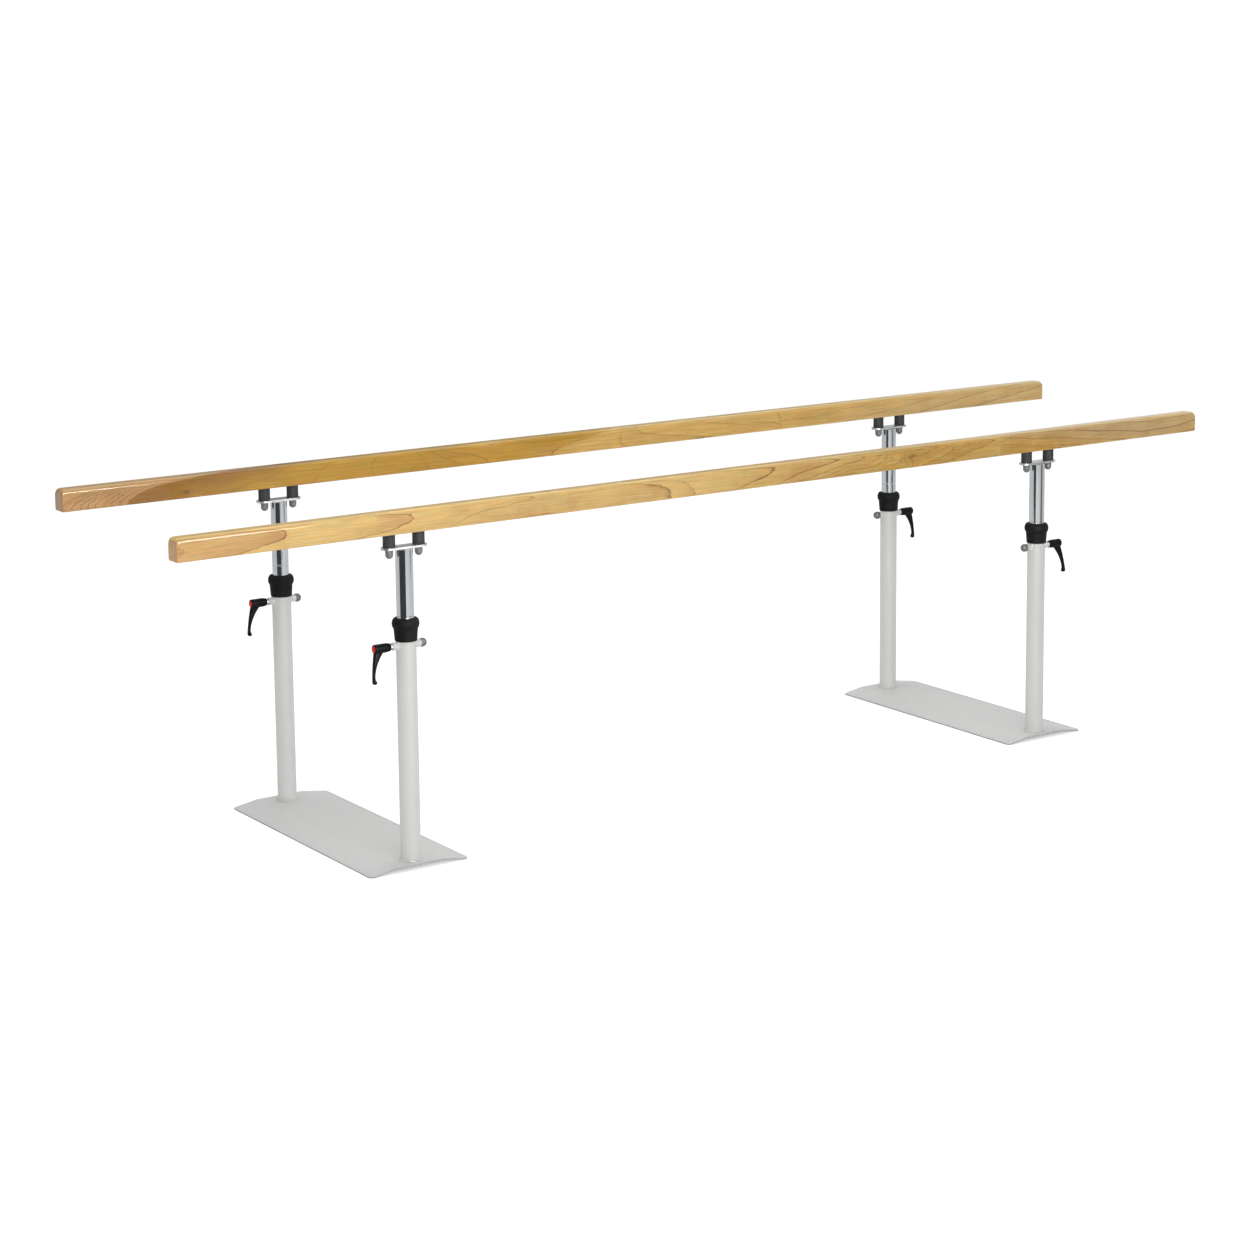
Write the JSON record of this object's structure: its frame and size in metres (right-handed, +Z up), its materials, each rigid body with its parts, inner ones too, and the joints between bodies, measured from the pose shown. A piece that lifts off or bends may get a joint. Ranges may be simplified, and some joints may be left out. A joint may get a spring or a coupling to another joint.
{
  "type": "walking parallel bars",
  "caption": "Free-standing walking parallel bars: wooden handrails on telescopic clamped posts that stand in pairs on low folded sheet bases.",
  "frame": {"origin": "on the floor at the centre of the overall box, midway between the four posts", "axes": "+X along the handrails towards the right-hand posts, +Y across from the near rail to the rear rail, +Z up"},
  "size_m": [3, 0.68, 0.833],
  "materials": {
    "varnished_wood": "clear varnish over honey-coloured wood",
    "white_powder_coat": "white powder coat",
    "grey_powder_coat": "pale grey matte powder coat",
    "chrome": "bright chrome plate",
    "dark_steel": "blackened steel",
    "black_rubber": "matte black rubber",
    "black_plastic": "fine-grained black plastic",
    "grey_plastic": "dark grey plastic",
    "red_plastic": "red plastic",
    "guide_plastic": "natural guide plastic"
  },
  "bodies": {
    "standing_frame": {"left_base_plate": "grey_powder_coat", "right_base_plate": "grey_powder_coat", "near_left_outer_tube": "white_powder_coat", "near_left_guide_sleeve": "guide_plastic", "near_left_top_collar": "black_rubber", "near_left_clamp_cap": "grey_plastic", "near_right_outer_tube": "white_powder_coat", "near_right_guide_sleeve": "guide_plastic", "near_right_top_collar": "black_rubber", "near_right_clamp_cap": "grey_plastic", "rear_left_outer_tube": "white_powder_coat", "rear_left_guide_sleeve": "guide_plastic", "rear_left_top_collar": "black_rubber", "rear_left_clamp_cap": "grey_plastic", "rear_right_outer_tube": "white_powder_coat", "rear_right_guide_sleeve": "guide_plastic", "rear_right_top_collar": "black_rubber", "rear_right_clamp_cap": "grey_plastic"},
    "near_rail": {"near_handrail": "varnished_wood", "near_left_inner_tube": "chrome", "near_left_slider_plug": "guide_plastic", "near_left_head_plate": "chrome", "near_left_outboard_buffer": "black_rubber", "near_left_inboard_buffer": "black_rubber", "near_left_outboard_cap_nut": "grey_plastic", "near_left_inboard_cap_nut": "grey_plastic", "near_right_inner_tube": "chrome", "near_right_slider_plug": "guide_plastic", "near_right_head_plate": "chrome", "near_right_outboard_buffer": "black_rubber", "near_right_inboard_buffer": "black_rubber", "near_right_outboard_cap_nut": "grey_plastic", "near_right_inboard_cap_nut": "grey_plastic"},
    "rear_rail": {"rear_handrail": "varnished_wood", "rear_left_inner_tube": "chrome", "rear_left_slider_plug": "guide_plastic", "rear_left_head_plate": "chrome", "rear_left_outboard_buffer": "black_rubber", "rear_left_inboard_buffer": "black_rubber", "rear_left_outboard_cap_nut": "grey_plastic", "rear_left_inboard_cap_nut": "grey_plastic", "rear_right_inner_tube": "chrome", "rear_right_slider_plug": "guide_plastic", "rear_right_head_plate": "chrome", "rear_right_outboard_buffer": "black_rubber", "rear_right_inboard_buffer": "black_rubber", "rear_right_outboard_cap_nut": "grey_plastic", "rear_right_inboard_cap_nut": "grey_plastic"},
    "near_left_clamp": {"near_left_clamp_screw": "dark_steel", "near_left_clamp_lever": "black_plastic"},
    "near_right_clamp": {"near_right_clamp_screw": "dark_steel", "near_right_clamp_lever": "black_plastic"},
    "rear_left_clamp": {"rear_left_clamp_screw": "dark_steel", "rear_left_clamp_lever": "black_plastic"},
    "rear_right_clamp": {"rear_right_clamp_screw": "dark_steel", "rear_right_clamp_lever": "black_plastic"},
    "near_left_button": {"near_left_lever_button": "red_plastic"},
    "near_right_button": {"near_right_lever_button": "red_plastic"},
    "rear_left_button": {"rear_left_lever_button": "red_plastic"},
    "rear_right_button": {"rear_right_lever_button": "red_plastic"}
  },
  "joints": [
    {"name": "near_rail_height", "type": "slide", "parent": "standing_frame", "child": "near_rail", "axis": [0, 0, 1], "range_m": [-0.134, 0.22]},
    {"name": "rear_rail_height", "type": "slide", "parent": "standing_frame", "child": "rear_rail", "axis": [0, 0, 1], "range_m": [-0.156, 0.198]},
    {"name": "near_left_clamp_turn", "type": "hinge", "parent": "standing_frame", "child": "near_left_clamp", "pos_m": [-0.944, -0.2985, 0.505], "axis": [-1, 0, 0], "range_deg": [0, 180]},
    {"name": "near_right_clamp_turn", "type": "hinge", "parent": "standing_frame", "child": "near_right_clamp", "pos_m": [0.944, -0.2985, 0.505], "axis": [1, 0, 0], "range_deg": [0, 180]},
    {"name": "rear_left_clamp_turn", "type": "hinge", "parent": "standing_frame", "child": "rear_left_clamp", "pos_m": [-0.944, 0.2985, 0.505], "axis": [-1, 0, 0], "range_deg": [0, 180]},
    {"name": "rear_right_clamp_turn", "type": "hinge", "parent": "standing_frame", "child": "rear_right_clamp", "pos_m": [0.944, 0.2985, 0.505], "axis": [1, 0, 0], "range_deg": [0, 180]},
    {"name": "near_left_button_press", "type": "slide", "parent": "near_left_clamp", "child": "near_left_button", "axis": [1, 0, 0], "range_m": [0, 0.003], "stiffness_N_per_m": 500, "springref_m": -0.002},
    {"name": "near_right_button_press", "type": "slide", "parent": "near_right_clamp", "child": "near_right_button", "axis": [-1, 0, 0], "range_m": [0, 0.003], "stiffness_N_per_m": 500, "springref_m": -0.002},
    {"name": "rear_left_button_press", "type": "slide", "parent": "rear_left_clamp", "child": "rear_left_button", "axis": [1, 0, 0], "range_m": [0, 0.003], "stiffness_N_per_m": 500, "springref_m": -0.002},
    {"name": "rear_right_button_press", "type": "slide", "parent": "rear_right_clamp", "child": "rear_right_button", "axis": [-1, 0, 0], "range_m": [0, 0.003], "stiffness_N_per_m": 500, "springref_m": -0.002}
  ]
}
